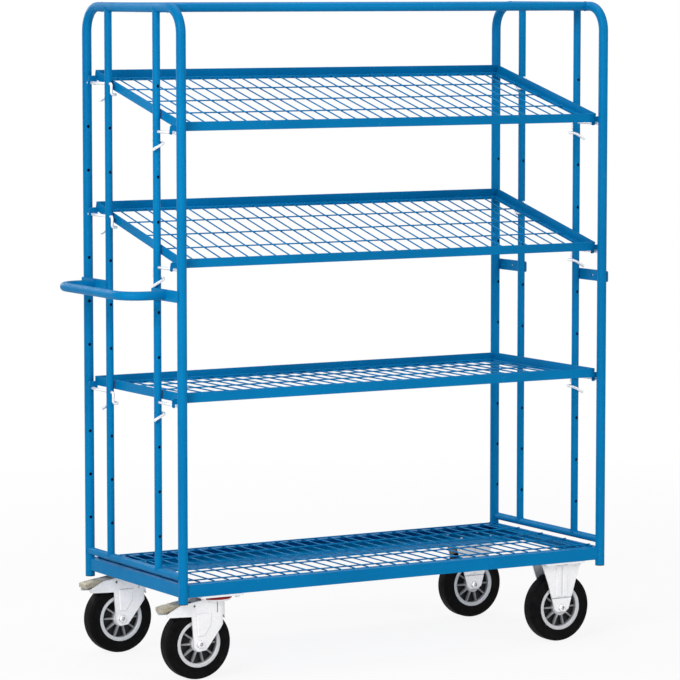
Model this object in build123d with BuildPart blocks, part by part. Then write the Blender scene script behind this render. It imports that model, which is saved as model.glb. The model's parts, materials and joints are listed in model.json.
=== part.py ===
# Shelf trolley: two bent-tube end frames on a mesh deck, with three adjustable mesh shelves,
# a push handle at the left end, two braked swivel casters at the left and two fixed ones at the right.
# +X runs along the length away from the handle, -Y is the open front, +Z is up, floor at Z = 0.

import os
from math import asin, cos, degrees, radians, sin

from build123d import *

# Overall sizes
frame_length = 1400.0
frame_width = 600.0
frame_height = 1857.0
handle_height = 1063.0

# Tubes of the end frames
post_diameter = 26.9
post_wall = 2.0
post_drop = 16.0
hoop_bend = 70.0
upright_diameter = 21.3
upright_wall = 2.0
upright_setback = 140.0
end_bar_lift = 22.0
top_rail_diameter = 25.0
top_rail_wall = 2.0
top_rail_setback = 87.0
plug_head = 2.0
plug_depth = 14.0

# Pin holes in the posts and uprights, counted from the top
hole_pitch = 124.0
hole_top_drop = 213.55
hole_foot_room = 60.0

# Deck of steel angle with a welded mesh
deck_angle_height = 35.0
deck_angle_flange = 35.0
deck_angle_thickness = 4.0
deck_angle_out = 6.0
deck_mesh_edge_room = 16.55
deck_wire = 4.0
strip_depth = 158.0
strip_thickness = 4.0

# Welded mesh
mesh_pitch = 44.0
mesh_long_wires = 5
mesh_side_room = 1.0
weld_depth = 0.4

# Shelves: name, hole of the rear pins, hole of the front pins
shelves = [("top", 0, 1), ("middle", 3, 4), ("lower", 7, 7)]
shelf_end_gap = 4.0
shelf_side_gap = 2.1
shelf_angle_height = 26.0
shelf_angle_flange = 25.0
shelf_angle_thickness = 2.5
shelf_lift = 3.0
shelf_wire = 4.0
shelf_mesh_edge_room = 20.0
hook_edge_room = 14.5
hook_thickness = 4.0
hook_drop = 10.0
hook_play = 2.0
hook_lip = 8.0
hook_round = 5.0

# Shelf pins of bent wire
pin_diameter = 8.0
pin_seat_gap = 0.6
pin_leg = 31.0
pin_play = 1.0
pin_upright_gap = 5.35
pin_top_bend = 8.5
clip_straight = 0.95
pin_tail = 8.0
pin_tail_drop = 18.0
pin_post_depth = 5.0

# Push handle and its lugs
handle_diameter = 25.0
handle_wall = 2.0
handle_reach = 115.0
handle_bend = 65.0
insert_length = 22.0
lug_height = 32.0
lug_thickness = 5.0
lug_hole = 9.0
lug_overlap = 6.0
handle_bolt = 8.0
handle_bolt_head = 13.0
handle_bolt_head_height = 5.3
handle_bolt_grip = 18.0

# Casters
wheel_diameter = 200.0
wheel_width = 46.0
wheel_room = 17.0
caster_inset = 120.55
caster_trail = 58.0
plate_end_edge = 15.0
plate_side_edge = 12.5
plate_thickness = 6.0
bolt_spacing_x = 105.0
bolt_fork_room = 9.5
bolt_rail_room = 10.55
bolt_diameter = 8.0
bolt_hole = 9.0
bolt_head_height = 5.3
bolt_nut_height = 6.5
bolt_across_flats = 13.0
bolt_tail = 2.0

# Wheel
tyre_depth = 38.5
rim_band = 5.0
rim_inset = 1.0
rim_flange = 3.0
rim_flange_height = 5.0
rim_web = 6.0
rim_ribs = 10
rim_rib = 4.0
rim_rib_depth = 12.0
rim_rib_overlap = 1.0
hub_radius = 23.0
hub_overhang = 2.5
hub_side_gap = 1.5
bearing_radius = 15.0
spacer_radius = 10.0
axle_diameter = 12.0
axle_across_flats = 19.0
axle_head_height = 7.5
axle_nut_height = 10.0
tyre_shoulder = 9.0

# Fork
fork_sheet = 3.5
fork_boss = 20.0
fork_top_inset = 0.5
fork_shoulder_inset = 18.0
fork_shoulder_drop = 50.0
fork_shoulder_round = 60.0
fork_rib_width = 18.0
fork_rib_height = 3.0
fork_rib_gap = 4.0
fork_rib_slope = 2.4
fork_groove = 3.0
fork_groove_depth = 2.0
fork_groove_lift = 29.0
fork_wheel_room = 6.0
crown_radius = 46.0
crown_thickness = 5.0
race_gap = 8.0
kingpin_radius = 6.0
kingpin_head = 11.0
kingpin_head_height = 7.0
ball_count = 16
ball_inset = 10.0
seal_lap = 4.0
seal_gap = 0.4
seal_round = 3.0

# Outline of the swivel fork: X from the swivel axis, and the drop below the crown's top
fork_crook = (-84.0, 44.0)
hood_tail = [(-159.0, 41.0), (-163.0, 33.0)]
hood_break = (-116.0, 9.0)
hood_start = 50.0
fork_front = 36.0
fork_front_edge = [(34.0, 17.0), (30.0, 52.0), (22.0, 62.0), (-3.0, 92.0)]

# Feet of the forks' legs, measured from the axle
fork_foot = [(27.0, -7.0), (18.0, -18.0)]
fixed_foot = [(24.0, -4.0), (14.0, -12.5)]

# Seam between the swivel fork's leg and its round front: X from the swivel axis, and its foot's drop
fork_seam = (-5.0, 37.0)

# Panel pressed into the swivel fork's legs, its foot measured up from the axle
panel_top = [(-22.0, 36.0), (-70.0, 36.0)]
panel_foot = [(-66.0, 22.0), (-46.0, 22.0)]
panel_corner = (-26.0, 72.0)

# Brake pedal: X from the swivel axis, and the drop below the crown's top
pedal_pivot = (-76.0, 15.0)
pedal_pin = 8.0
pedal_hub = 6.5
pedal_side_gap = 5.0
pedal_knee = (-128.0, 9.0)
pedal_tip = (-170.0, 17.0)
pedal_thickness = 12.0
pedal_edge_lean = 1.0
pedal_ridges = 6
pedal_ridge = 1.5
pedal_press = 10.0
shoe_angle = 126.7
shoe_length = 22.0
shoe_thickness = 6.0
shoe_inset = 4.0
shoe_gap = 0.4

# Clearances
weld_gap = 0.2
fit_gap = 0.05
seat_gap = 0.3

# Places worked out from the sizes above
post_radius = post_diameter / 2
upright_radius = upright_diameter / 2
pin_radius = pin_diameter / 2
hole_radius = (pin_diameter + pin_play) / 2
wheel_radius = wheel_diameter / 2
crown_bottom = wheel_diameter + wheel_room
crown_top = crown_bottom + crown_thickness
plate_bottom = crown_top + race_gap
plate_top = plate_bottom + plate_thickness
deck_bottom = plate_top
deck_top = deck_bottom + deck_angle_height
post_foot = deck_bottom - post_drop
span_x = frame_length - post_diameter
post_y = (frame_width - post_diameter) / 2
upright_y = post_y - upright_setback
arm_y = post_y - upright_setback / 2
top_z = frame_height - post_radius
rail_y = post_y - top_rail_setback
lug_stand_off = post_radius + weld_gap + lug_thickness
upright_shift = post_radius - upright_radius
pin_tail_reach = upright_radius + pin_tail
left_overhang = lug_stand_off + handle_reach + handle_diameter / 2
right_overhang = max(lug_stand_off, upright_shift + pin_tail_reach)
frame_x = (left_overhang - right_overhang) / 2
end_bar_z = deck_top + end_bar_lift
hole_top = top_z - hole_top_drop
hole_count = int((hole_top - end_bar_z - hole_foot_room) // hole_pitch) + 1
pin_heights = [hole_top - hole_pitch * index for index in range(hole_count)]
ends = [("left", frame_x - span_x / 2, -1), ("right", frame_x + span_x / 2, 1)]
rows = [("front", -1), ("rear", 1)]

os.makedirs("parts", exist_ok=True)


def save(part, name):
    part.label = name
    export_step(part, f"parts/{name}.step")


def turned(point, centre, angle):
    # a point of the XZ plane turned about a centre, anticlockwise with X to the right and Z up
    x = point[0] - centre[0]
    z = point[1] - centre[1]
    c = cos(radians(angle))
    s = sin(radians(angle))
    return (centre[0] + x * c - z * s, centre[1] + x * s + z * c)


def at_angle(centre, radius, angle):
    return (centre[0] + radius * cos(radians(angle)), centre[1] + radius * sin(radians(angle)))


def below_crown(point):
    return (point[0], crown_top - point[1])


# End frames: hoops, uprights, end bars and handle lugs
for side, post_x, outward in ends:
    upright_x = post_x + outward * upright_shift
    with BuildPart() as hoop:
        with BuildLine():
            FilletPolyline(
                (post_x, -post_y, post_foot),
                (post_x, -post_y, top_z),
                (post_x, post_y, top_z),
                (post_x, post_y, post_foot),
                radius=hoop_bend,
            )
        with BuildSketch(Plane((post_x, -post_y, post_foot), z_dir=(0, 0, 1))):
            Circle(post_radius)
            Circle(post_radius - post_wall, mode=Mode.SUBTRACT)
        sweep()
        inner_wall = [(upright_x, row * (post_y - post_radius), z) for _, row in rows for z in pin_heights]
        with Locations(inner_wall):
            Cylinder(hole_radius, post_diameter / 2, rotation=(90, 0, 0), mode=Mode.SUBTRACT)
    save(hoop.part, f"{side}_hoop")

    with BuildPart() as uprights:
        for _, row in rows:
            with BuildSketch(Plane((upright_x, row * upright_y, end_bar_z), z_dir=(0, 0, 1))):
                Circle(upright_radius)
                Circle(upright_radius - upright_wall, mode=Mode.SUBTRACT)
        extrude(amount=top_z - end_bar_z)
        with Locations((post_x, 0, top_z)):
            Cylinder(post_radius + weld_gap, frame_width, rotation=(90, 0, 0), mode=Mode.SUBTRACT)
        with Locations((upright_x, 0, end_bar_z)):
            Cylinder(upright_radius + weld_gap, frame_width, rotation=(90, 0, 0), mode=Mode.SUBTRACT)
        with Locations([(upright_x, row * upright_y, z) for _, row in rows for z in pin_heights]):
            Cylinder(hole_radius, upright_diameter * 1.5, rotation=(90, 0, 0), mode=Mode.SUBTRACT)
    save(uprights.part, f"{side}_uprights")

with BuildPart() as end_bars:
    for side, post_x, outward in ends:
        with BuildSketch(Plane((post_x + outward * upright_shift, -post_y, end_bar_z), z_dir=(0, 1, 0))):
            Circle(upright_radius)
            Circle(upright_radius - upright_wall, mode=Mode.SUBTRACT)
    extrude(amount=2 * post_y)
    with Locations([(post_x, row * post_y, end_bar_z) for _, post_x, _ in ends for _, row in rows]):
        Cylinder(post_radius + weld_gap, 4 * upright_diameter, mode=Mode.SUBTRACT)
save(end_bars.part, "end_bars")

with BuildPart() as handle_lugs:
    lug_length = upright_setback + 2 * lug_overlap
    for side, post_x, outward in ends:
        lug_x = post_x + outward * (post_radius + weld_gap + lug_thickness / 2)
        with Locations([(lug_x, row * arm_y, handle_height) for _, row in rows]):
            Box(lug_thickness, lug_length, lug_height)
            Cylinder(lug_hole / 2, 2 * lug_thickness, rotation=(0, 90, 0), mode=Mode.SUBTRACT)
    fillet(handle_lugs.edges().filter_by(Axis.X).filter_by(GeomType.LINE), radius=lug_overlap)
save(handle_lugs.part, "handle_lugs")

with BuildPart() as top_rails:
    for _, row in rows:
        with BuildSketch(Plane((frame_x - span_x / 2, row * rail_y, top_z), z_dir=(1, 0, 0))):
            Circle(top_rail_diameter / 2)
            Circle(top_rail_diameter / 2 - top_rail_wall, mode=Mode.SUBTRACT)
    extrude(amount=span_x)
    with Locations([(post_x, 0, top_z) for _, post_x, _ in ends]):
        Cylinder(post_radius + weld_gap, frame_width, rotation=(90, 0, 0), mode=Mode.SUBTRACT)
save(top_rails.part, "top_rails")

with BuildPart() as post_plugs:
    for _, post_x, _ in ends:
        with Locations([(post_x, row * post_y, post_foot) for _, row in rows]):
            Cylinder(post_radius, plug_head, align=(Align.CENTER, Align.CENTER, Align.MAX))
            Cylinder(
                post_radius - post_wall - weld_gap,
                plug_depth,
                align=(Align.CENTER, Align.CENTER, Align.MIN),
            )
save(post_plugs.part, "post_end_plugs")

# Deck: four angles butted against the posts, strips below for the casters, and the mesh on top
leg_centre = deck_angle_out - deck_angle_thickness / 2
flange_centre = deck_angle_out - deck_angle_flange / 2
flange_edge_y = post_y + deck_angle_out - deck_angle_flange
post_places = [(post_x, row * post_y, deck_bottom) for _, post_x, _ in ends for _, row in rows]

for name, row in rows:
    with BuildPart() as long_rail:
        with Locations((frame_x, row * (post_y + leg_centre), deck_bottom)):
            Box(
                span_x,
                deck_angle_thickness,
                deck_angle_height,
                align=(Align.CENTER, Align.CENTER, Align.MIN),
            )
        with Locations((frame_x, row * (post_y + flange_centre), deck_top)):
            Box(
                span_x,
                deck_angle_flange,
                deck_angle_thickness,
                align=(Align.CENTER, Align.CENTER, Align.MAX),
            )
        with Locations(post_places):
            Cylinder(post_radius + weld_gap, 4 * deck_angle_height, mode=Mode.SUBTRACT)
    save(long_rail.part, f"deck_{name}_rail")

for side, post_x, outward in ends:
    with BuildPart() as side_rail:
        with Locations((post_x + outward * leg_centre, 0, deck_bottom)):
            Box(
                deck_angle_thickness,
                2 * post_y,
                deck_angle_height,
                align=(Align.CENTER, Align.CENTER, Align.MIN),
            )
        with Locations((post_x + outward * flange_centre, 0, deck_top)):
            Box(
                deck_angle_flange,
                2 * (flange_edge_y - weld_gap),
                deck_angle_thickness,
                align=(Align.CENTER, Align.CENTER, Align.MAX),
            )
        with Locations(post_places):
            Cylinder(post_radius + weld_gap, 4 * deck_angle_height, mode=Mode.SUBTRACT)
    save(side_rail.part, f"deck_{side}_rail")

leg_inside = deck_angle_out - deck_angle_thickness
hub_half_width = wheel_width / 2 + hub_overhang
fork_half_gap = hub_half_width + hub_side_gap
fork_half_width = fork_half_gap + fork_sheet
bolt_half_x = bolt_spacing_x / 2
bolt_half_y = fork_half_width + bolt_fork_room
plate_length = 2 * (bolt_half_x + plate_end_edge)
plate_width = 2 * (bolt_half_y + plate_side_edge)
caster_y = post_y + leg_inside - bolt_rail_room - bolt_half_y
bolt_pattern = [(i * bolt_half_x, j * bolt_half_y) for i in (-1, 1) for j in (-1, 1)]
caster_places = [
    (f"{name}_{side}", post_x - outward * caster_inset, row * caster_y)
    for side, post_x, outward in ends
    for name, row in rows
]
bolt_places = [(x + i, y + j) for _, x, y in caster_places for i, j in bolt_pattern]

with BuildPart() as caster_strips:
    strip_y = post_y + leg_inside - weld_gap - strip_depth / 2
    with Locations([(frame_x, row * strip_y, deck_bottom) for _, row in rows]):
        Box(
            span_x + 2 * (leg_inside - weld_gap),
            strip_depth,
            strip_thickness,
            align=(Align.CENTER, Align.CENTER, Align.MIN),
        )
    with Locations(post_places):
        Cylinder(post_radius + weld_gap, 4 * strip_thickness, mode=Mode.SUBTRACT)
    with Locations([(x, y, deck_bottom) for x, y in bolt_places]):
        Cylinder(bolt_hole / 2, 4 * strip_thickness, mode=Mode.SUBTRACT)
save(caster_strips.part, "caster_strips")


def welded_mesh(plane, reach, depth, wire, flange):
    # cross wires lie on the plane, long wires are welded on top of them
    gaps = round(reach / mesh_pitch)
    long_pitch = (depth - 2 * flange) / (mesh_long_wires - 1)
    with BuildPart(plane) as mesh:
        with Locations((0, 0, wire / 2 + fit_gap)):
            with GridLocations(reach / gaps, 1, gaps + 1, 1):
                Cylinder(wire / 2, depth - 2 * mesh_side_room, rotation=(90, 0, 0))
        with Locations((0, 0, 1.5 * wire + fit_gap - weld_depth)):
            with GridLocations(1, long_pitch, 1, mesh_long_wires):
                Cylinder(wire / 2, reach + 2 * wire, rotation=(0, 90, 0))
    return mesh.part


deck_mesh = welded_mesh(
    Plane((frame_x, 0, deck_top)),
    span_x - 2 * deck_mesh_edge_room,
    2 * post_y - deck_angle_flange,
    deck_wire,
    deck_angle_flange / 2,
)
save(deck_mesh, "deck_mesh")

# Shelves: angle trays with the lip up, hooks at the corners, a welded mesh inside, four pins each
clip_room = upright_radius + pin_radius + seat_gap
clip_bend = (clip_room - clip_straight) / 2
pin_stand_off = upright_radius + pin_radius + pin_upright_gap
shelf_end_room = upright_radius + shelf_end_gap - upright_shift
shelf_length = span_x - 2 * shelf_end_room
shelf_depth = 2 * (post_y - post_radius - shelf_side_gap)
hook_slot = pin_diameter + hook_play
hook_spacing = shelf_depth - 2 * hook_edge_room
hook_y = hook_spacing / 2
hook_reach = shelf_end_room + upright_shift + hook_slot / 2 + hook_lip

for name, rear_hole, front_hole in shelves:
    tilt = asin((pin_heights[rear_hole] - pin_heights[front_hole]) / hook_spacing)
    pivot_y = hook_y * cos(tilt)
    pivot_z = pin_heights[rear_hole] + pin_radius + pin_seat_gap
    shelf_plane = Plane((frame_x, pivot_y, pivot_z), x_dir=(1, 0, 0), z_dir=(0, -sin(tilt), cos(tilt)))
    print(name, "shelf pivot", round(pivot_y, 3), round(pivot_z, 3), "tilt", round(degrees(tilt), 3))
    with BuildPart(shelf_plane) as shelf:
        with Locations((0, -hook_y, shelf_lift)):
            Box(
                shelf_length,
                shelf_depth,
                shelf_angle_height,
                align=(Align.CENTER, Align.CENTER, Align.MIN),
            )
        with Locations((0, -hook_y, shelf_lift + shelf_angle_thickness)):
            Box(
                shelf_length - 2 * shelf_angle_thickness,
                shelf_depth - 2 * shelf_angle_thickness,
                shelf_angle_height,
                align=(Align.CENTER, Align.CENTER, Align.MIN),
                mode=Mode.SUBTRACT,
            )
        with Locations((0, -hook_y, shelf_lift)):
            Box(
                shelf_length - 2 * shelf_angle_flange,
                shelf_depth - 2 * shelf_angle_flange,
                shelf_angle_height,
                mode=Mode.SUBTRACT,
            )
        hook_height = hook_drop + shelf_lift + shelf_angle_height / 2
        hook_x = (shelf_length + hook_reach) / 2
        hook_places = [(i * hook_x, y, -hook_drop) for i in (-1, 1) for y in (0, -hook_spacing)]
        with Locations(hook_places):
            Box(
                hook_reach,
                hook_thickness,
                hook_height,
                align=(Align.CENTER, Align.CENTER, Align.MIN),
            )
        end_faces = shelf.faces().filter_by(Axis.X)
        hook_ends = [*end_faces.group_by(Axis.X)[0], *end_faces.group_by(Axis.X)[-1]]
        fillet([edge for face in hook_ends for edge in face.edges().sort_by(SortBy.LENGTH)[:2]], hook_round)
        slot_x = span_x / 2 + upright_shift
        with Locations([(i * slot_x, y, 0) for i in (-1, 1) for y in (0, -hook_spacing)]):
            Box(
                hook_slot,
                2 * hook_thickness,
                2 * hook_drop,
                align=(Align.CENTER, Align.CENTER, Align.MAX),
                mode=Mode.SUBTRACT,
            )
    save(shelf.part, f"{name}_shelf_frame")

    mesh_floor = shelf_lift + shelf_angle_thickness
    mesh_centre = shelf_plane.from_local_coords((0, -hook_y, mesh_floor))
    shelf_mesh = welded_mesh(
        Plane(mesh_centre, x_dir=shelf_plane.x_dir, z_dir=shelf_plane.z_dir),
        shelf_length - 2 * shelf_mesh_edge_room,
        shelf_depth - 2 * shelf_angle_thickness,
        shelf_wire,
        shelf_angle_flange,
    )
    save(shelf_mesh, f"{name}_shelf_mesh")

    pin_solids = []
    for _, post_x, outward in ends:
        pin_x = post_x + outward * upright_shift
        clip_x = pin_x - outward * clip_room
        for (_, row), hole in zip(rows, (front_hole, rear_hole)):
            z = pin_heights[hole]
            inside_y = row * (upright_y - pin_stand_off)
            outside_y = row * (upright_y + clip_room)
            with BuildPart() as pin:
                with BuildLine() as wire_path:
                    FilletPolyline(
                        (pin_x, row * (post_y - pin_post_depth), z),
                        (pin_x, inside_y, z),
                        (pin_x, inside_y, z - pin_leg),
                        (clip_x, inside_y, z - pin_leg),
                        (clip_x, outside_y, z - pin_leg),
                        (pin_x + outward * pin_tail_reach, outside_y, z - pin_leg - pin_tail_drop),
                        radius=[pin_top_bend, clip_bend, clip_bend, clip_bend],
                    )
                with BuildSketch(Plane(wire_path.line @ 0, z_dir=wire_path.line % 0)):
                    Circle(pin_radius)
                sweep()
            pin_solids.append(pin.part.solid())
    save(Compound(children=pin_solids), f"{name}_shelf_pins")

# Push handle: a bent tube with threaded inserts in its ends, bolted to the left lugs
left_post_x = ends[0][1]
arm_start_x = left_post_x - lug_stand_off
grip_x = arm_start_x - handle_reach
handle_radius = handle_diameter / 2
with BuildPart() as handle_bar:
    with BuildLine() as handle_path:
        FilletPolyline(
            (arm_start_x, -arm_y, handle_height),
            (grip_x, -arm_y, handle_height),
            (grip_x, arm_y, handle_height),
            (arm_start_x, arm_y, handle_height),
            radius=handle_bend,
        )
    with BuildSketch(Plane(handle_path.line @ 0, z_dir=handle_path.line % 0)):
        Circle(handle_radius)
        Circle(handle_radius - handle_wall, mode=Mode.SUBTRACT)
    sweep()
    with Locations([(arm_start_x, row * arm_y, handle_height) for _, row in rows]):
        Cylinder(
            handle_radius,
            insert_length,
            rotation=(0, -90, 0),
            align=(Align.CENTER, Align.CENTER, Align.MIN),
        )
        Cylinder(
            handle_bolt / 2 + fit_gap,
            2 * (insert_length + handle_wall),
            rotation=(0, -90, 0),
            mode=Mode.SUBTRACT,
        )
save(handle_bar.part, "handle_bar")

with BuildPart() as handle_bolts:
    head_x = arm_start_x + lug_thickness
    for _, row in rows:
        with BuildSketch(Plane((head_x, row * arm_y, handle_height), z_dir=(1, 0, 0))):
            RegularPolygon(handle_bolt_head / 2, 6, major_radius=False)
    extrude(amount=handle_bolt_head_height)
    with Locations([(head_x, row * arm_y, handle_height) for _, row in rows]):
        Cylinder(
            handle_bolt / 2,
            handle_bolt_grip,
            rotation=(0, -90, 0),
            align=(Align.CENTER, Align.CENTER, Align.MIN),
        )
save(handle_bolts.part, "handle_bolts")

# Caster bolts through the strips, heads below and nuts above
nut_z = deck_bottom + strip_thickness
with BuildPart() as caster_bolts:
    with BuildSketch(Plane.XY.offset(plate_bottom - bolt_head_height)):
        with Locations(bolt_places):
            RegularPolygon(bolt_across_flats / 2, 6, major_radius=False)
    extrude(amount=bolt_head_height)
    with BuildSketch(Plane.XY.offset(plate_bottom)):
        with Locations(bolt_places):
            Circle(bolt_diameter / 2)
    extrude(amount=nut_z - plate_bottom + bolt_nut_height + bolt_tail)
with BuildPart() as caster_nuts:
    with BuildSketch(Plane.XY.offset(nut_z)):
        with Locations(bolt_places):
            RegularPolygon(bolt_across_flats / 2, 6, major_radius=False)
            Circle(bolt_diameter / 2 + fit_gap, mode=Mode.SUBTRACT)
    extrude(amount=bolt_nut_height)
caster_fasteners = Compound(children=[*caster_bolts.part.solids(), *caster_nuts.part.solids()])
save(caster_fasteners, "caster_fasteners")

# Wheel pieces, modelled about the axle and copied to each caster
rim_radius = wheel_radius - tyre_depth
rim_flange_radius = rim_radius + rim_flange_height
rim_half_width = wheel_width / 2 - rim_inset

with BuildPart() as rim:
    with BuildSketch(Plane.XY):
        with BuildLine():
            Polyline(
                (bearing_radius + fit_gap, -hub_half_width),
                (hub_radius, -hub_half_width),
                (hub_radius, -rim_web / 2),
                (rim_radius - rim_band, -rim_web / 2),
                (rim_radius - rim_band, -rim_half_width),
                (rim_flange_radius, -rim_half_width),
                (rim_flange_radius, rim_flange - rim_half_width),
                (rim_radius, rim_flange - rim_half_width),
                (rim_radius, 0),
            )
            Line((rim_radius, 0), (bearing_radius + fit_gap, 0))
            Line((bearing_radius + fit_gap, 0), (bearing_radius + fit_gap, -hub_half_width))
        make_face()
        mirror(about=Plane.XZ)
    revolve(axis=Axis.Y)
    rib_start = hub_radius - rim_rib_overlap
    rib_end = rim_radius - rim_band / 2
    with BuildSketch(Plane.XZ):
        with PolarLocations(0, rim_ribs):
            with Locations(((rib_start + rib_end) / 2, 0)):
                Rectangle(rib_end - rib_start, rim_rib)
    extrude(amount=rim_web / 2 + rim_rib_depth, both=True)

with BuildPart() as tyre:
    base_half = rim_half_width - rim_flange - fit_gap
    side_radius = rim_flange_radius + seat_gap
    with BuildSketch(Plane.XY):
        with BuildLine():
            Polyline(
                (rim_radius + fit_gap, 0),
                (rim_radius + fit_gap, -base_half),
                (side_radius, -base_half),
                (side_radius, -wheel_width / 2),
                (wheel_radius - tyre_shoulder, -wheel_width / 2),
            )
            RadiusArc(
                (wheel_radius - tyre_shoulder, -wheel_width / 2),
                (wheel_radius, tyre_shoulder - wheel_width / 2),
                -tyre_shoulder,
            )
            Line((wheel_radius, tyre_shoulder - wheel_width / 2), (wheel_radius, 0))
            Line((wheel_radius, 0), (rim_radius + fit_gap, 0))
        make_face()
        mirror(about=Plane.XZ)
    revolve(axis=Axis.Y)

with BuildPart() as bearing:
    with BuildSketch(Plane.XZ):
        Circle(bearing_radius)
        Circle(spacer_radius + fit_gap, mode=Mode.SUBTRACT)
    extrude(amount=hub_half_width - seat_gap, both=True)

with BuildPart() as axle_bolt:
    with BuildSketch(Plane.XZ.offset(fork_half_width)):
        RegularPolygon(axle_across_flats / 2, 6, major_radius=False)
    extrude(amount=axle_head_height)
    with BuildSketch(Plane.XZ.offset(fork_half_width)):
        Circle(axle_diameter / 2)
    extrude(amount=-2 * fork_half_width - axle_nut_height - bolt_tail)
with BuildPart() as axle_nut:
    with BuildSketch(Plane.XZ.offset(-fork_half_width)):
        RegularPolygon(axle_across_flats / 2, 6, major_radius=False)
        Circle(axle_diameter / 2 + fit_gap, mode=Mode.SUBTRACT)
    extrude(amount=-axle_nut_height)
with BuildPart() as axle_spacer:
    with BuildSketch(Plane.XZ):
        Circle(spacer_radius)
        Circle(axle_diameter / 2 + fit_gap, mode=Mode.SUBTRACT)
    extrude(amount=fork_half_gap - seat_gap, both=True)
axle_solids = [axle_bolt.part.solid(), axle_nut.part.solid(), axle_spacer.part.solid()]

plate_holes = [(i, j, plate_top) for i, j in bolt_pattern]

# Fixed fork: plate and flared legs, with two stiffening ribs pressed into each leg
with BuildPart() as fixed_fork:
    with Locations((0, 0, plate_top)):
        Box(plate_length, plate_width, plate_thickness, align=(Align.CENTER, Align.CENTER, Align.MAX))
    fillet(fixed_fork.edges().filter_by(Axis.Z), radius=plate_thickness)
    with Locations(plate_holes):
        Cylinder(bolt_hole / 2, 4 * plate_thickness, mode=Mode.SUBTRACT)
    fork_half_top = plate_length / 2 - fork_top_inset
    fork_half_shoulder = fork_half_top - fork_shoulder_inset
    fork_shoulder = plate_bottom - fork_shoulder_drop
    front_foot = [(x, wheel_radius + z) for x, z in fixed_foot]
    rear_foot = [(-x, wheel_radius + z) for x, z in fixed_foot]
    with BuildSketch(Plane.XZ.offset(-fork_half_width)):
        with BuildLine():
            FilletPolyline(
                (-fork_half_top, plate_bottom),
                (-fork_half_shoulder, fork_shoulder),
                rear_foot[0],
                radius=fork_shoulder_round,
            )
            Polyline(*rear_foot, *reversed(front_foot))
            FilletPolyline(
                front_foot[0],
                (fork_half_shoulder, fork_shoulder),
                (fork_half_top, plate_bottom),
                radius=fork_shoulder_round,
            )
            Line((fork_half_top, plate_bottom), (-fork_half_top, plate_bottom))
        make_face()
    extrude(amount=2 * fork_half_width)
    with BuildSketch(Plane.XZ.offset(-fork_half_gap)):
        with Locations((0, plate_bottom)):
            Rectangle(2 * plate_length, 4 * wheel_radius, align=(Align.CENTER, Align.MAX))
    extrude(amount=2 * fork_half_gap, mode=Mode.SUBTRACT)
    with Locations((0, 0, wheel_radius)):
        Cylinder(axle_diameter / 2 + fit_gap, 4 * fork_half_width, rotation=(90, 0, 0), mode=Mode.SUBTRACT)
    rib_foot = wheel_radius + fork_groove_lift + fork_groove
    rib_top = plate_bottom - fork_rib_gap
    rib_places = [
        (i * (fork_rib_width + fork_rib_gap) / 2, j * fork_half_width, rib_top)
        for i in (-1, 1)
        for j in (-1, 1)
    ]
    with Locations(rib_places):
        Box(
            fork_rib_width,
            2 * fork_rib_height,
            rib_top - rib_foot,
            align=(Align.CENTER, Align.CENTER, Align.MAX),
        )
    for row in (-1, 1):
        crest = row * (fork_half_width + fork_rib_height)
        rib_faces = fixed_fork.faces().filter_by_position(Axis.Y, crest - fit_gap, crest + fit_gap)
        chamfer(rib_faces.edges(), length=fork_rib_slope)
    groove_places = [(0, j * fork_half_width, wheel_radius + fork_groove_lift) for j in (-1, 1)]
    with Locations(groove_places):
        Box(plate_length, 2 * fork_groove_depth, fork_groove, mode=Mode.SUBTRACT)

# Swivel caster pieces, modelled about the swivel axis with the wheel trailing towards -X
axle_at = (-caster_trail, wheel_radius)
pivot_at = below_crown(pedal_pivot)
pivot_x, pivot_height = pivot_at
hood_slope = hood_break[1] / (hood_start + hood_break[0])
hood_under = crown_top + hood_slope * (-pivot_x - hood_start) - fork_sheet

with BuildPart() as top_plate:
    with Locations((0, 0, plate_top)):
        Box(plate_length, plate_width, plate_thickness, align=(Align.CENTER, Align.CENTER, Align.MAX))
    fillet(top_plate.edges().filter_by(Axis.Z), radius=plate_thickness)
    with Locations(plate_holes):
        Cylinder(bolt_hole / 2, 4 * plate_thickness, mode=Mode.SUBTRACT)
    with Locations((0, 0, plate_top)):
        Cylinder(kingpin_radius + fit_gap, 4 * plate_thickness, mode=Mode.SUBTRACT)

with BuildPart() as kingpin:
    with BuildSketch(Plane.XY.offset(crown_bottom - seat_gap)):
        Circle(kingpin_radius)
    extrude(amount=plate_top - crown_bottom + seat_gap)
    with BuildSketch(Plane.XY.offset(crown_bottom - seat_gap)):
        RegularPolygon(kingpin_head, 6, major_radius=False)
    extrude(amount=-kingpin_head_height)

ball_radius = race_gap / 2 - seat_gap
with BuildPart() as swivel_balls:
    with Locations((0, 0, crown_top + race_gap / 2)):
        with PolarLocations(crown_radius - ball_inset, ball_count):
            Sphere(ball_radius)

with BuildPart() as dust_seal:
    with BuildSketch(Plane.XY.offset(crown_top)):
        Circle(crown_radius + seal_lap)
        Circle(crown_radius - seal_lap, mode=Mode.SUBTRACT)
    extrude(amount=race_gap - seal_gap)
    fillet(dust_seal.edges().group_by(Axis.Z)[-1].sort_by(SortBy.LENGTH)[-1], radius=seal_round)

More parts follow.
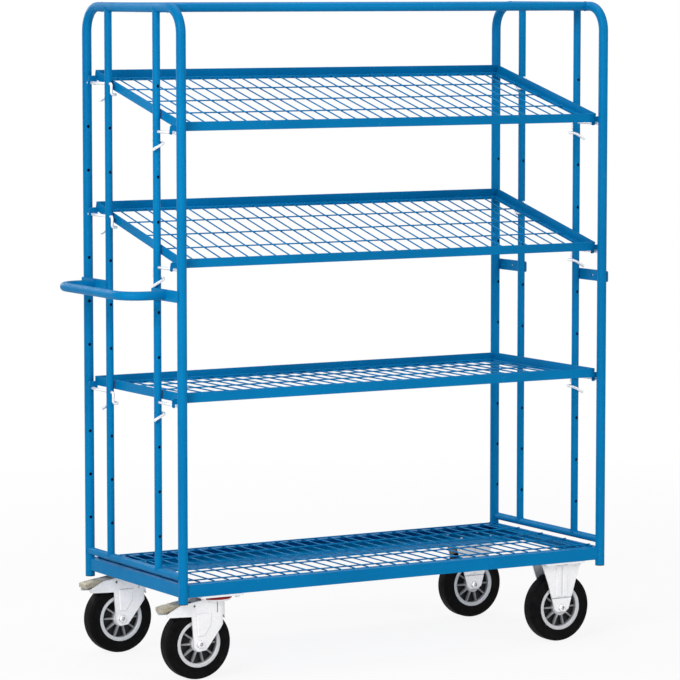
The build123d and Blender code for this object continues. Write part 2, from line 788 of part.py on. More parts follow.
with BuildPart() as swivel_fork:
    with BuildSketch(Plane.XZ.offset(-fork_half_width)):
        with BuildLine():
            Polyline(
                at_angle(axle_at, fork_boss, 180),
                below_crown(fork_crook),
                *[below_crown(point) for point in hood_tail],
                below_crown(hood_break),
                (-hood_start, crown_top),
                (fork_front, crown_top),
                *[below_crown(point) for point in fork_front_edge],
                *[(axle_at[0] + x, axle_at[1] + z) for x, z in fork_foot],
                at_angle(axle_at, fork_boss, 270),
                close=True,
            )
        make_face()
        with Locations(axle_at):
            Circle(fork_boss)
    extrude(amount=2 * fork_half_width)
    with BuildSketch(Plane.XZ.offset(-fork_half_gap)):
        with BuildLine():
            Polyline(
                (0, crown_bottom),
                (-hood_start, crown_bottom),
                (pivot_x, hood_under),
                (pivot_x, wheel_diameter + crown_top),
                (-2 * wheel_diameter, wheel_diameter + crown_top),
                (-2 * wheel_diameter, -wheel_diameter),
                (0, -wheel_diameter),
                close=True,
            )
        make_face()
    extrude(amount=2 * fork_half_gap, mode=Mode.SUBTRACT)
    with BuildSketch(Plane.XY.offset(crown_bottom)):
        Rectangle(4 * fork_half_width, 4 * fork_half_width, align=(Align.MIN, Align.CENTER))
        Circle(fork_half_width, mode=Mode.SUBTRACT)
        Circle(fork_half_gap)
    extrude(amount=-wheel_diameter, mode=Mode.SUBTRACT)
    with Locations((axle_at[0], 0, axle_at[1])):
        Cylinder(wheel_radius + fork_wheel_room, 2 * fork_half_gap, rotation=(90, 0, 0), mode=Mode.SUBTRACT)
    with BuildSketch(Plane.XY.offset(crown_bottom)):
        Circle(crown_radius)
    extrude(amount=crown_thickness)
    for row in (-1, 1):
        with BuildSketch(Plane((0, row * fork_half_width, 0), x_dir=(1, 0, 0), z_dir=(0, -1, 0))):
            with BuildLine():
                Polyline(
                    *[below_crown(point) for point in panel_top],
                    *[(x, wheel_radius + lift) for x, lift in panel_foot],
                    below_crown(panel_corner),
                    close=True,
                )
            make_face()
        extrude(amount=-row * fork_rib_height)
    for row in (-1, 1):
        crest = row * (fork_half_width + fork_rib_height)
        panel_face = swivel_fork.faces().filter_by_position(Axis.Y, crest - fit_gap, crest + fit_gap)
        chamfer(panel_face.edges(), length=fork_rib_slope)
    seam_x, seam_foot = below_crown(fork_seam)
    with Locations([(seam_x, j * fork_half_width, seam_foot) for j in (-1, 1)]):
        Box(
            fork_groove,
            2 * fork_groove_depth,
            crown_bottom - seam_foot,
            align=(Align.CENTER, Align.CENTER, Align.MIN),
            mode=Mode.SUBTRACT,
        )
    with Locations((0, 0, crown_top)):
        Cylinder(kingpin_radius + fit_gap, 4 * crown_thickness, mode=Mode.SUBTRACT)
    with Locations((axle_at[0], 0, axle_at[1])):
        Cylinder(axle_diameter / 2 + fit_gap, 4 * fork_half_width, rotation=(90, 0, 0), mode=Mode.SUBTRACT)
    with Locations((pivot_x, 0, pivot_height)):
        Cylinder(pedal_pin / 2 + fit_gap, 4 * fork_half_width, rotation=(90, 0, 0), mode=Mode.SUBTRACT)

with BuildPart() as pivot_pin:
    with BuildSketch(Plane((pivot_x, fork_half_width, pivot_height), z_dir=(0, -1, 0))):
        Circle(pedal_pin / 2)
    extrude(amount=2 * fork_half_width)

# The shoe's face is laid out against the tyre with the pedal pressed, then turned back to rest
contact_radius = wheel_radius + shoe_gap
back_radius = contact_radius + shoe_thickness
half_shoe = degrees(asin(shoe_length / 2 / contact_radius))


def shoe_corner(radius, side):
    reach = radius / cos(radians(half_shoe))
    return turned(at_angle(axle_at, reach, shoe_angle + side * half_shoe), pivot_at, -pedal_press)


shoe_face = [shoe_corner(contact_radius, -1), shoe_corner(contact_radius, 1)]
shoe_back = [shoe_corner(back_radius, 1), shoe_corner(back_radius, -1)]
pedal_width = 2 * (fork_half_gap - pedal_side_gap)
shoe_width = pedal_width - 2 * shoe_inset
knee = below_crown(pedal_knee)
tip = below_crown(pedal_tip)

with BuildPart() as pedal:
    with BuildSketch(Plane.XZ.offset(-pedal_width / 2)):
        with BuildLine():
            Polyline(
                (pivot_x, pivot_height + pedal_hub),
                knee,
                tip,
                (tip[0] + pedal_edge_lean, tip[1] - pedal_thickness),
                (knee[0] - pedal_edge_lean, knee[1] - pedal_thickness),
                shoe_back[0],
                shoe_back[1],
                (pivot_x, pivot_height - pedal_hub),
                close=True,
            )
        make_face()
        with Locations(pivot_at):
            Circle(pedal_hub)
        for ridge in range(pedal_ridges):
            share = (ridge + 1) / (pedal_ridges + 1)
            ridge_x = knee[0] + share * (tip[0] - knee[0])
            ridge_z = knee[1] + share * (tip[1] - knee[1])
            with Locations((ridge_x, ridge_z)):
                Circle(pedal_ridge)
        with Locations(pivot_at):
            Circle(pedal_pin / 2 + fit_gap, mode=Mode.SUBTRACT)
    extrude(amount=pedal_width)

with BuildPart() as shoe:
    with BuildSketch(Plane.XZ.offset(-shoe_width / 2)):
        with BuildLine():
            Polyline(*shoe_face, *shoe_back, close=True)
        make_face()
    extrude(amount=shoe_width)

# Copies at the four casters
for place, x, y in caster_places:
    swivels = place.endswith("left")
    at_plate = Location((x, y, 0))
    wheel_x = x - caster_trail if swivels else x
    at_axle = Location((wheel_x, y, wheel_radius))
    for piece, solid in (("rim", rim), ("tyre", tyre), ("wheel_bearing", bearing)):
        save(solid.part.moved(at_axle), f"{place}_{piece}")
    save(Compound(children=[solid.moved(at_axle) for solid in axle_solids]), f"{place}_axle")
    if swivels:
        swivel_pieces = [
            ("top_plate", top_plate),
            ("kingpin", kingpin),
            ("swivel_balls", swivel_balls),
            ("dust_seal", dust_seal),
            ("fork", swivel_fork),
            ("brake_pin", pivot_pin),
            ("brake_pedal", pedal),
            ("brake_shoe", shoe),
        ]
        for piece, solid in swivel_pieces:
            save(solid.part.moved(at_plate), f"{place}_{piece}")
    else:
        save(fixed_fork.part.moved(at_plate), f"{place}_fork")

print("frame centre", round(frame_x, 3), "posts", [round(x, 3) for _, x, _ in ends], round(post_y, 3))
print("casters", [(place, round(x, 3), y) for place, x, y in caster_places])
print("lug face", round(ends[1][1] + lug_stand_off, 3), "holes", round(2 * arm_y, 3), "apart")
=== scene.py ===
import json
import math

import bmesh
import bpy
from mathutils import Matrix, Vector


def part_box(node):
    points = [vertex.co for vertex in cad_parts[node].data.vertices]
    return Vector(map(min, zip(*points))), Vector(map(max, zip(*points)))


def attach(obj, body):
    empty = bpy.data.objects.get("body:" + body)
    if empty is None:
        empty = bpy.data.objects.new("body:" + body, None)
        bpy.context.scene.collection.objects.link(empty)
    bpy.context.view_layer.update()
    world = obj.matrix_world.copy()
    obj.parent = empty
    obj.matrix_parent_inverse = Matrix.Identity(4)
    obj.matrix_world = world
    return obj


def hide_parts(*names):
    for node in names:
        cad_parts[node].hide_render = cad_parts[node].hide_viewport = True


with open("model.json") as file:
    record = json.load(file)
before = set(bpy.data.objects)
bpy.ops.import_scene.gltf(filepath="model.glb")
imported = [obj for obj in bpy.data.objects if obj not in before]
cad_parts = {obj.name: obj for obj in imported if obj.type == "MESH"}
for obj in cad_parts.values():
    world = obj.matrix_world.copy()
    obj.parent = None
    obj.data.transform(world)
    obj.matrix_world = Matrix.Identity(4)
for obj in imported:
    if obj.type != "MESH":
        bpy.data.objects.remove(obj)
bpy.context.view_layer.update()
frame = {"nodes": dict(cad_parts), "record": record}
nodes = frame["nodes"]
jointOf = {j["name"]: j for j in frame["record"]["behaviour"]["joints"]}

# The trolley's own middle, between the four posts
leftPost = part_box("left_hoop")
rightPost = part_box("right_hoop")
middleX = (leftPost[0].x + leftPost[1].x + rightPost[0].x + rightPost[1].x) / 4
casters = ["front_left", "rear_left", "front_right", "rear_right"]


# Camera: a long lens from the front left, a little above the top of the trolley
cameraSettings = {
    "heading": math.radians(30.13),
    "tilt": math.radians(5.51),
    "distance": 10.458,
    "sideways": -0.0213,
    "height": 1.8968,
    "lens": 193.3,
    "sensor": 36,
    "farClip": 200,
}


def makeCamera(s):
    ahead = Vector((math.sin(s["heading"]), math.cos(s["heading"]), 0))
    right = Vector((ahead.y, -ahead.x, 0))
    data = bpy.data.cameras.new("camera")
    data.lens = s["lens"]
    data.sensor_width = s["sensor"]
    data.clip_end = s["farClip"]
    camera = bpy.data.objects.new("camera", data)
    camera.location = Vector((middleX, 0, s["height"])) - ahead * s["distance"] + right * s["sideways"]
    camera.rotation_euler = (math.pi / 2 - s["tilt"], 0, -s["heading"])
    bpy.context.scene.collection.objects.link(camera)
    bpy.context.scene.camera = camera


makeCamera(cameraSettings)
bpy.context.scene.view_settings.view_transform = "Standard"
print("camera set")


def put(tree, kind, inputs=None, **attributes):
    # one node, with its sockets linked or set
    node = tree.nodes.new(kind)
    for key, value in attributes.items():
        setattr(node, key, value)
    for key, value in (inputs or {}).items():
        if isinstance(value, bpy.types.NodeSocket):
            tree.links.new(value, node.inputs[key])
        else:
            node.inputs[key].default_value = value
    return node.outputs


def calc(tree, operation, first, second=0.0):
    return put(tree, "ShaderNodeMath", {0: first, 1: second}, operation=operation)[0]


def ranged(tree, value, low, high, toLow, toHigh):
    spread = {"Value": value, "From Min": low, "From Max": high, "To Min": toLow, "To Max": toHigh}
    return put(tree, "ShaderNodeMapRange", spread)[0]


# Studio: soft lamps, a pale floor and a white surround
studioSettings = {
    "worldLight": 0.18,
    "floorSize": 60.0,
    "floorColour": (0.86, 0.86, 0.86, 1),
    "floorGlow": 0.88,
    "fadeStart": 1.6,
    "fadeEnd": 4.5,
}
lamps = [
    # name, place, aimed at, size, watts
    ("keyLamp", (-5.0, -3.2, 3.7), (0, 0, 0.8), 3.0, 280),
    ("fillLamp", (2.8, -5.2, 3.4), (0, 0, 0.7), 3.5, 108),
    ("topLamp", (0.2, 0.6, 5.2), (0, 0, 0.6), 3.5, 88),
    ("backLamp", (-1.0, 5.2, 2.8), (0, 0, 1.0), 3.0, 75),
]


def raySeen(tree):
    # camera, mirror and glass rays all see the white surround
    path = put(tree, "ShaderNodeLightPath")
    first = calc(tree, "MAXIMUM", path["Is Camera Ray"], path["Is Glossy Ray"])
    return calc(tree, "MAXIMUM", first, path["Is Transmission Ray"])


def makeStudio(s):
    world = bpy.data.worlds.new("surround")
    bpy.context.scene.world = world
    world.use_nodes = True
    tree = world.node_tree
    tree.nodes.clear()
    light = put(tree, "ShaderNodeBackground", {"Color": (1, 1, 1, 1), "Strength": s["worldLight"]})[0]
    seen = put(tree, "ShaderNodeBackground", {"Color": (1, 1, 1, 1), "Strength": 1})[0]
    mix = put(tree, "ShaderNodeMixShader", {0: raySeen(tree), 1: light, 2: seen})[0]
    put(tree, "ShaderNodeOutputWorld", {"Surface": mix})
    for name, place, aim, size, watts in lamps:
        data = bpy.data.lights.new(name, "AREA")
        data.shape = "DISK"
        data.size = size
        data.energy = watts
        lamp = bpy.data.objects.new(name, data)
        lamp.location = place
        lamp.rotation_euler = (Vector(aim) - Vector(place)).to_track_quat("-Z", "Y").to_euler()
        bpy.context.scene.collection.objects.link(lamp)


def makeFloor(s):
    half = s["floorSize"] / 2
    mesh = bpy.data.meshes.new("floor")
    corners = [(-half, -half, 0), (half, -half, 0), (half, half, 0), (-half, half, 0)]
    mesh.from_pydata(corners, [], [(0, 1, 2, 3)])
    floor = bpy.data.objects.new("floor", mesh)
    bpy.context.scene.collection.objects.link(floor)
    material = bpy.data.materials.new("paleFloor")
    material.use_nodes = True
    tree = material.node_tree
    tree.nodes.clear()
    matt = put(tree, "ShaderNodeBsdfDiffuse", {"Color": s["floorColour"]})[0]
    glow = put(tree, "ShaderNodeEmission", {"Strength": 1})[0]
    place = put(tree, "ShaderNodeTexCoord")["Object"]
    away = put(tree, "ShaderNodeVectorMath", {0: place}, operation="LENGTH")["Value"]
    fade = ranged(tree, away, s["fadeStart"], s["fadeEnd"], s["floorGlow"], 1)
    share = calc(tree, "MULTIPLY", fade, raySeen(tree))
    mix = put(tree, "ShaderNodeMixShader", {0: share, 1: matt, 2: glow})[0]
    put(tree, "ShaderNodeOutputMaterial", {"Surface": mix})
    mesh.materials.append(material)


makeStudio(studioSettings)
makeFloor(studioSettings)
print("studio lit with", len(lamps), "lamps")


# Finishes, all on Object coordinates
def mixed(tree, share, first, second):
    return put(tree, "ShaderNodeMix", {0: share, 6: first, 7: second}, data_type="RGBA")[2]


def noise(tree, place, scale, detail=2.0):
    return put(tree, "ShaderNodeTexNoise", {"Vector": place, "Scale": scale, "Detail": detail})[0]


# stretches of a noise's values that a finish spreads over its full range
narrow = (0.35, 0.65)
wide = (0.3, 0.7)
grainStrength = 0.3


def startFinish(name, metal, gloss):
    material = bpy.data.materials.new(name)
    material.use_nodes = True
    tree = material.node_tree
    shader = tree.nodes["Principled BSDF"].inputs
    shader["Metallic"].default_value = metal
    shader["Specular IOR Level"].default_value = gloss
    return material, tree, shader, put(tree, "ShaderNodeTexCoord")["Object"]


def grain(tree, shader, height, strength, depth):
    bump = put(tree, "ShaderNodeBump", {"Height": height, "Strength": strength, "Distance": depth})[0]
    tree.links.new(bump, shader["Normal"])


coatSettings = {
    "colour": (0.0, 0.165, 0.40, 1),
    "paler": (0.0, 0.200, 0.47, 1),
    "scuff": (0.02, 0.25, 0.50, 1),
    "gloss": 0.06,
    "rough": (0.36, 0.5),
    "driftSize": 2.6,
    "rubSize": 46,
    "rubLevel": (0.66, 0.74),
    "rubShare": 0.35,
    "patchSize": 30,
    "peelSize": 520.0,
    "peelStrength": 0.35,
    "peelDepth": 0.00012,
}


def makeCoat(name, s):
    # stoved powder: slow shade drift, orange peel and a few pale rub marks
    material, tree, shader, place = startFinish(name, 0, s["gloss"])
    drift = ranged(tree, noise(tree, place, s["driftSize"], 3), *narrow, 0, 1)
    base = mixed(tree, drift, s["colour"], s["paler"])
    rubs = ranged(tree, noise(tree, place, s["rubSize"], 7), *s["rubLevel"], 0, s["rubShare"])
    tree.links.new(mixed(tree, rubs, base, s["scuff"]), shader["Base Color"])
    patches = noise(tree, place, s["patchSize"], 4)
    tree.links.new(ranged(tree, patches, *wide, *s["rough"]), shader["Roughness"])
    grain(tree, shader, noise(tree, place, s["peelSize"], 1), s["peelStrength"], s["peelDepth"])
    return material


zincSettings = {
    "pale": (0.97, 0.97, 0.98, 1),
    "dull": (0.86, 0.865, 0.885, 1),
    "metal": 0.4,
    "gloss": 0.5,
    "rough": (0.46, 0.3),
    "spangleSize": 190.0,
    "spangleShare": 0.35,
    "cloudSize": 18,
    "cloudShare": 0.65,
    "toneLevel": (0.2, 0.8),
    # painted shade: near-black colour laid into bores, sockets and inner corners
    "cavityShade": (0.03, 0.03, 0.032, 1),
    "cavityShadeReach": 0.006,
    "cavityShadeLevel": (0.25, 0.8),
    "cavityShadeShare": 0.95,
    "rollSize": 700,
    "rollStrength": 0.25,
    "rollDepth": 0.00008,
}


def makeZinc(name, s):
    # plated steel: crystal spangle, fine rolling marks, and painted shade that darkens the colour in bores,
    # sockets and inner corners
    material, tree, shader, place = startFinish(name, s["metal"], s["gloss"])
    cell = put(tree, "ShaderNodeTexVoronoi", {"Vector": place, "Scale": s["spangleSize"]})["Color"]
    spangle = calc(tree, "MULTIPLY", put(tree, "ShaderNodeSeparateColor", {0: cell})[0], s["spangleShare"])
    cloud = calc(tree, "MULTIPLY", noise(tree, place, s["cloudSize"], 4), s["cloudShare"])
    tone = calc(tree, "ADD", spangle, cloud)
    unshadedZinc = mixed(tree, ranged(tree, tone, *s["toneLevel"], 0, 1), s["dull"], s["pale"])
    # painted shade: ambient occlusion darkens the colour within a few millimetres of bores, sockets and corners
    reach = {"Distance": s["cavityShadeReach"]}
    room = put(tree, "ShaderNodeAmbientOcclusion", reach, samples=8, only_local=True)["AO"]
    cavityShadeMask = ranged(tree, room, *s["cavityShadeLevel"], s["cavityShadeShare"], 0)
    tree.links.new(mixed(tree, cavityShadeMask, unshadedZinc, s["cavityShade"]), shader["Base Color"])
    tree.links.new(ranged(tree, tone, *s["toneLevel"], *s["rough"]), shader["Roughness"])
    grain(tree, shader, noise(tree, place, s["rollSize"], 3), s["rollStrength"], s["rollDepth"])
    return material


rimSettings = {
    # the edge colour is partly wear and partly a painted highlight; the pocket colour is painted shade
    "edge": (0.66, 0.67, 0.69, 1),
    "rib": (0.27, 0.275, 0.29, 1),
    "pocketShade": (0.010, 0.011, 0.012, 1),
    "gloss": 0.3,
    "rough": (0.42, 0.58),
    "middle": abs(jointOf["front_left_wheel_spin"]["pos_m"][1]),
    "ribLevel": (0.005, 0.014),
    "edgeLevel": (0.0175, 0.0205),
    "mottleSize": 90,
    "mottleDepth": 0.004,
    "grainSize": 900,
    "grainDepth": 0.0001,
}


def makeRimFinish(name, s):
    # moulded grey plastic, with painted shade darkening the pockets and a pale outer edge that is part wear and
    # part painted highlight
    material, tree, shader, place = startFinish(name, 0, s["gloss"])
    across = calc(tree, "ABSOLUTE", put(tree, "ShaderNodeSeparateXYZ", {0: place})["Y"])
    out = calc(tree, "ABSOLUTE", calc(tree, "SUBTRACT", across, s["middle"]))  # from the wheel's middle plane
    mottle = noise(tree, place, s["mottleSize"], 4)
    shift = calc(tree, "MULTIPLY", calc(tree, "SUBTRACT", mottle, 0.5), s["mottleDepth"])
    out = calc(tree, "ADD", out, shift)
    # painted shade: the deeper towards the web, the darker the colour
    lower = mixed(tree, ranged(tree, out, *s["ribLevel"], 0, 1), s["pocketShade"], s["rib"])
    # pale band on the flange's outer face: wear and a painted highlight
    tree.links.new(mixed(tree, ranged(tree, out, *s["edgeLevel"], 0, 1), lower, s["edge"]), shader["Base Color"])
    tree.links.new(ranged(tree, mottle, *wide, *s["rough"]), shader["Roughness"])
    grain(tree, shader, noise(tree, place, s["grainSize"], 2), grainStrength, s["grainDepth"])
    return material


plainSettings = {
    # first and second colour, metal, gloss, roughness spread, patch size, grain size and depth
    "tyre_rubber": ((0.0022, 0.0022, 0.0024), (0.0050, 0.0050, 0.0053), 0, 0.06, (0.55, 0.75), 60, 800, 0.0002),
    "seal_red": ((0.20, 0.002, 0.006), (0.28, 0.004, 0.010), 0, 0.2, (0.35, 0.5), 70, 900, 0.0001),
    "pedal_steel": ((0.36, 0.32, 0.23), (0.50, 0.46, 0.38), 0.35, 0.4, (0.32, 0.5), 55, 700, 0.0001),
    "shoe_rubber": ((0.008, 0.008, 0.008), (0.02, 0.02, 0.021), 0, 0.15, (0.6, 0.8), 90, 700, 0.0003),
    "plug_black": ((0.008, 0.008, 0.009), (0.016, 0.016, 0.018), 0, 0.25, (0.4, 0.55), 80, 1000, 0.0001),
    "bearing_nylon": ((0.66, 0.65, 0.60), (0.76, 0.75, 0.71), 0, 0.3, (0.4, 0.55), 80, 900, 0.0001),
}


def makeMoulded(name, first, second, metal, gloss, rough, patch, fine, depth):
    # rubber, plastics and passivated steel: patchy tone with a fine grain
    material, tree, shader, place = startFinish(name, metal, gloss)
    tone = ranged(tree, noise(tree, place, patch, 4), *narrow, 0, 1)
    tree.links.new(mixed(tree, tone, (*first, 1), (*second, 1)), shader["Base Color"])
    tree.links.new(ranged(tree, noise(tree, place, patch * 0.6, 3), *wide, *rough), shader["Roughness"])
    grain(tree, shader, noise(tree, place, fine, 2), grainStrength, depth)
    return material


made = {name: makeMoulded(name, *s) for name, s in plainSettings.items()}
made["blue_powder_coat"] = makeCoat("blue_powder_coat", coatSettings)
made["zinc_steel"] = makeZinc("zinc_steel", zincSettings)
made["rim_grey"] = makeRimFinish("rim_grey", rimSettings)
for part in frame["record"]["subparts"]:
    plain = nodes[part["node"]].data
    plain.materials.clear()
    plain.materials.append(made[part["material_slot"]])
print("finishes made:", len(made))


# Mesh tools
edgeSettings = {
    "turnedSharp": math.radians(38),
    "cadSharp": math.radians(32),
    "cadFlat": math.radians(0.4),
    "cadMerge": 2e-6,
    "segments": 2,
    "normalWeight": 90,
}


def meshFrom(bm, name, smooth=True):
    mesh = bpy.data.meshes.new(name)
    for face in bm.faces:
        face.smooth = smooth
    bm.to_mesh(mesh)
    bm.free()
    return mesh


def addPiece(name, mesh, slot, body, *replaced):
    mesh.materials.clear()
    mesh.materials.append(made[slot])
    obj = bpy.data.objects.new(name, mesh)
    bpy.context.scene.collection.objects.link(obj)
    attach(obj, body)
    if replaced:
        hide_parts(*replaced)
    return obj


def settled(obj):
    # the object with its modifiers, as a plain mesh
    bpy.context.view_layer.update()
    mesh = bpy.data.meshes.new_from_object(obj.evaluated_get(bpy.context.evaluated_depsgraph_get()))
    bpy.data.objects.remove(obj)
    return mesh


def joined(name, meshes):
    bm = bmesh.new()
    for mesh in meshes:
        bm.from_mesh(mesh)
    result = bpy.data.meshes.new(name)
    bm.to_mesh(result)
    bm.free()
    return result


def rounded(corners, steps=3):
    # corners are (radius from the axle, place along it, rounding)
    line = []
    for i, (a, b, radius) in enumerate(corners):
        here = Vector((a, b))
        if radius == 0:
            line.append(here)
            continue
        before = (Vector(corners[i - 1][:2]) - here).normalized()
        after = (Vector(corners[(i + 1) % len(corners)][:2]) - here).normalized()
        half = before.angle(after) / 2
        middle = here + (before + after).normalized() * (radius / math.sin(half))
        start = here + before * (radius / math.tan(half)) - middle
        end = here + after * (radius / math.tan(half)) - middle
        for k in range(steps + 1):
            line.append(middle + start.lerp(end, k / steps).normalized() * radius)
    return line


def mirrored(side):
    # a closed section from the corners of its near half
    return side + [(a, -b, radius) for a, b, radius in reversed(side)]


def turned(name, loop, centre, steps):
    # a closed section turned about a line along Y
    bm = bmesh.new()
    rings = []
    for i in range(steps):
        c, s = math.cos(2 * math.pi * i / steps), math.sin(2 * math.pi * i / steps)
        rings.append([bm.verts.new((centre[0] + r * c, centre[1] + y, centre[2] + r * s)) for r, y in loop])
    for i in range(steps):
        for k in range(len(loop)):
            m = (k + 1) % len(loop)
            bm.faces.new((rings[i][k], rings[i][m], rings[i - 1][m], rings[i - 1][k]))
    bmesh.ops.recalc_face_normals(bm, faces=bm.faces)
    mesh = meshFrom(bm, name)
    mesh.set_sharp_from_angle(angle=edgeSettings["turnedSharp"])
    return mesh


def bevelled(bm, edges, width, clamp):
    bmesh.ops.bevel(bm, geom=edges, offset=width, offset_type="OFFSET", segments=edgeSettings["segments"],
                    profile=0.5, affect="EDGES", clamp_overlap=clamp)


def softened(name, node, width):
    # a merged copy of a CAD node with its sharp edges rounded
    s = edgeSettings
    bm = bmesh.new()
    bm.from_mesh(nodes[node].data)
    bmesh.ops.remove_doubles(bm, verts=bm.verts, dist=s["cadMerge"])
    bmesh.ops.dissolve_limit(bm, angle_limit=s["cadFlat"], verts=bm.verts, edges=bm.edges)
    sharp = [e for e in bm.edges if e.is_manifold and e.calc_face_angle() > s["cadSharp"]]
    bevelled(bm, sharp, width, True)
    bmesh.ops.triangulate(bm, faces=[f for f in bm.faces if len(f.verts) > 4])
    holder = bpy.data.objects.new(name, meshFrom(bm, name))
    bpy.context.scene.collection.objects.link(holder)
    even = holder.modifiers.new("evenNormals", "WEIGHTED_NORMAL")
    even.weight = s["normalWeight"]
    return settled(holder)


# Geometry Nodes tools
def newTree(name, sockets):
    tree = bpy.data.node_groups.new(name, "GeometryNodeTree")
    tree.interface.new_socket("Geometry", in_out="INPUT", socket_type="NodeSocketGeometry")
    for label, kind in sockets:
        tree.interface.new_socket(label, in_out="INPUT", socket_type="NodeSocket" + kind)
    tree.interface.new_socket("Material", in_out="INPUT", socket_type="NodeSocketMaterial")
    tree.interface.new_socket("Geometry", in_out="OUTPUT", socket_type="NodeSocketGeometry")
    return tree, put(tree, "NodeGroupInput")


def endTree(tree, given, stack):
    # the shape set on its points, as plain faces
    many = put(tree, "GeometryNodeInstanceOnPoints", stack)[0]
    real = put(tree, "GeometryNodeRealizeInstances", {0: many})[0]
    real = put(tree, "GeometryNodeSetMaterial", {"Geometry": real, "Material": given["Material"]})[0]
    put(tree, "NodeGroupOutput", {0: real})
    return tree


def grown(name, tree, mesh, slot, values):
    # runs a tree on a mesh of points, lines or one shape
    holder = bpy.data.objects.new(name, mesh)
    bpy.context.scene.collection.objects.link(holder)
    modifier = holder.modifiers.new(name, "NODES")
    modifier.node_group = tree
    for item in tree.interface.items_tree:
        if item.in_out == "INPUT" and item.name in values:
            modifier[item.identifier] = values[item.name]
        if item.in_out == "INPUT" and item.name == "Material":
            modifier[item.identifier] = made[slot]
    return settled(holder)


def pointMesh(points, lines=()):
    mesh = bpy.data.meshes.new("points")
    mesh.from_pydata([tuple(p) for p in points], list(lines), [])
    return mesh


def lineMesh(runs):
    # runs are (points, closed)
    points, lines = [], []
    for run, closed in runs:
        first = len(points)
        points += run
        lines += [(first + i, first + i + 1) for i in range(len(run) - 1)]
        if closed:
            lines.append((first + len(run) - 1, first))
    return pointMesh(points, lines)


def blob(tree, radius):
    ball = put(tree, "GeometryNodeMeshUVSphere", {"Segments": 8, "Rings": 5, "Radius": radius})[0]
    return put(tree, "GeometryNodeSetShadeSmooth", {"Geometry": ball, "Shade Smooth": True})[0]


def uneven(tree, given, low, high):
    # a random size between two shares
    return put(tree, "FunctionNodeRandomValue", {2: low, 3: high, "Seed": given["Seed"]})[1]


def beadTree():
    tree, given = newTree("weldSeam", [("Step", "Float"), ("Bead", "Float"), ("Seed", "Int")])
    line = put(tree, "GeometryNodeMeshToCurve", {"Mesh": given["Geometry"]})[0]
    line = put(tree, "GeometryNodeResampleCurve", {"Curve": line, "Length": given["Step"]}, mode="LENGTH")[0]
    along = put(tree, "GeometryNodeInputTangent")[0]
    turn = put(tree, "FunctionNodeAlignRotationToVector", {"Vector": along}, axis="Z")[0]
    size = uneven(tree, given, 0.85, 1.12)
    scale = put(tree, "ShaderNodeCombineXYZ", {0: size, 1: size, 2: 0.8})[0]
    stack = {"Points": line, "Instance": blob(tree, given["Bead"]), "Rotation": turn, "Scale": scale}
    return endTree(tree, given, stack)


def nuggetTree():
    sockets = [("Radius", "Float"), ("Height", "Float"), ("Turn", "Rotation"), ("Seed", "Int")]
    tree, given = newTree("meshWelds", sockets)
    size = uneven(tree, given, 0.8, 1.15)
    scale = put(tree, "ShaderNodeCombineXYZ", {0: size, 1: size, 2: given["Height"]})[0]
    spot = blob(tree, given["Radius"])
    stack = {"Points": given["Geometry"], "Instance": spot, "Rotation": given["Turn"], "Scale": scale}
    return endTree(tree, given, stack)


hexShape = {
    "crown": 0.2,  # share of the head's height that draws in
    "crownWidth": 0.86,
    "mouth": 0.64,
    "socketTaper": 0.96,
    "washerSides": 20,
    "rodSides": 16,
}


def hexTree(s):
    sizes = ["Across Flats", "Height", "Washer Radius", "Washer Height",
             "Rod Radius", "Rod Length", "Socket Depth"]
    tree, given = newTree("hexFastener", [(size, "Float") for size in sizes] + [("Turn", "Rotation")])

    def stacked(count, radius, depth, bottom):
        # a prism standing on a height
        solid = put(tree, "GeometryNodeMeshCylinder", {"Vertices": count, "Radius": radius, "Depth": depth})[0]
        middle = calc(tree, "ADD", bottom, calc(tree, "MULTIPLY", depth, 0.5))
        lift = put(tree, "ShaderNodeCombineXYZ", {2: middle})[0]
        return put(tree, "GeometryNodeTransform", {"Geometry": solid, "Translation": lift})[0]

    def raised(solid, chosen, rise, scale):
        # the chosen face drawn up or down and shrunk
        pull = {"Mesh": solid, "Selection": chosen, "Offset Scale": rise, "Individual": False}
        drawn = put(tree, "GeometryNodeExtrudeMesh", pull)
        shrunk = {"Geometry": drawn["Mesh"], "Selection": drawn["Top"], "Scale": scale}
        return put(tree, "GeometryNodeScaleElements", shrunk)[0], drawn["Top"]

    corner = calc(tree, "MULTIPLY", given["Across Flats"], 1 / math.sqrt(3))
    seat = given["Washer Height"]
    facing = put(tree, "ShaderNodeSeparateXYZ", {0: put(tree, "GeometryNodeInputNormal")[0]})[2]
    top = calc(tree, "GREATER_THAN", facing, 0.9)
    head = stacked(6, corner, calc(tree, "MULTIPLY", given["Height"], 1 - s["crown"]), seat)
    head, top = raised(head, top, calc(tree, "MULTIPLY", given["Height"], s["crown"]), s["crownWidth"])
    head, top = raised(head, top, 0.0, s["mouth"])
    head, top = raised(head, top, calc(tree, "MULTIPLY", given["Socket Depth"], -1), s["socketTaper"])
    below = calc(tree, "MULTIPLY", given["Rod Length"], -1)
    washer = stacked(s["washerSides"], given["Washer Radius"], seat, 0.0)
    rod = stacked(s["rodSides"], given["Rod Radius"], given["Rod Length"], below)
    whole = tree.nodes.new("GeometryNodeJoinGeometry")
    for shape in (head, washer, rod):
        tree.links.new(shape, whole.inputs[0])
    stack = {"Points": given["Geometry"], "Instance": whole.outputs[0], "Rotation": given["Turn"]}
    return endTree(tree, given, stack)


def ribTree():
    tree, given = newTree("rimRibs", [("Count", "Int"), ("Centre", "Vector")])
    spots = put(tree, "GeometryNodePoints", {"Count": given["Count"], "Position": given["Centre"]})[0]
    step = calc(tree, "DIVIDE", 2 * math.pi, given["Count"])
    angle = calc(tree, "MULTIPLY", put(tree, "GeometryNodeInputIndex")[0], step)
    turn = put(tree, "ShaderNodeCombineXYZ", {1: angle})[0]
    stack = {"Points": spots, "Instance": given["Geometry"], "Rotation": turn}
    return endTree(tree, given, stack)


trees = {"bead": beadTree(), "nugget": nuggetTree(), "hex": hexTree(hexShape), "rib": ribTree()}
print("geometry trees built:", len(trees))


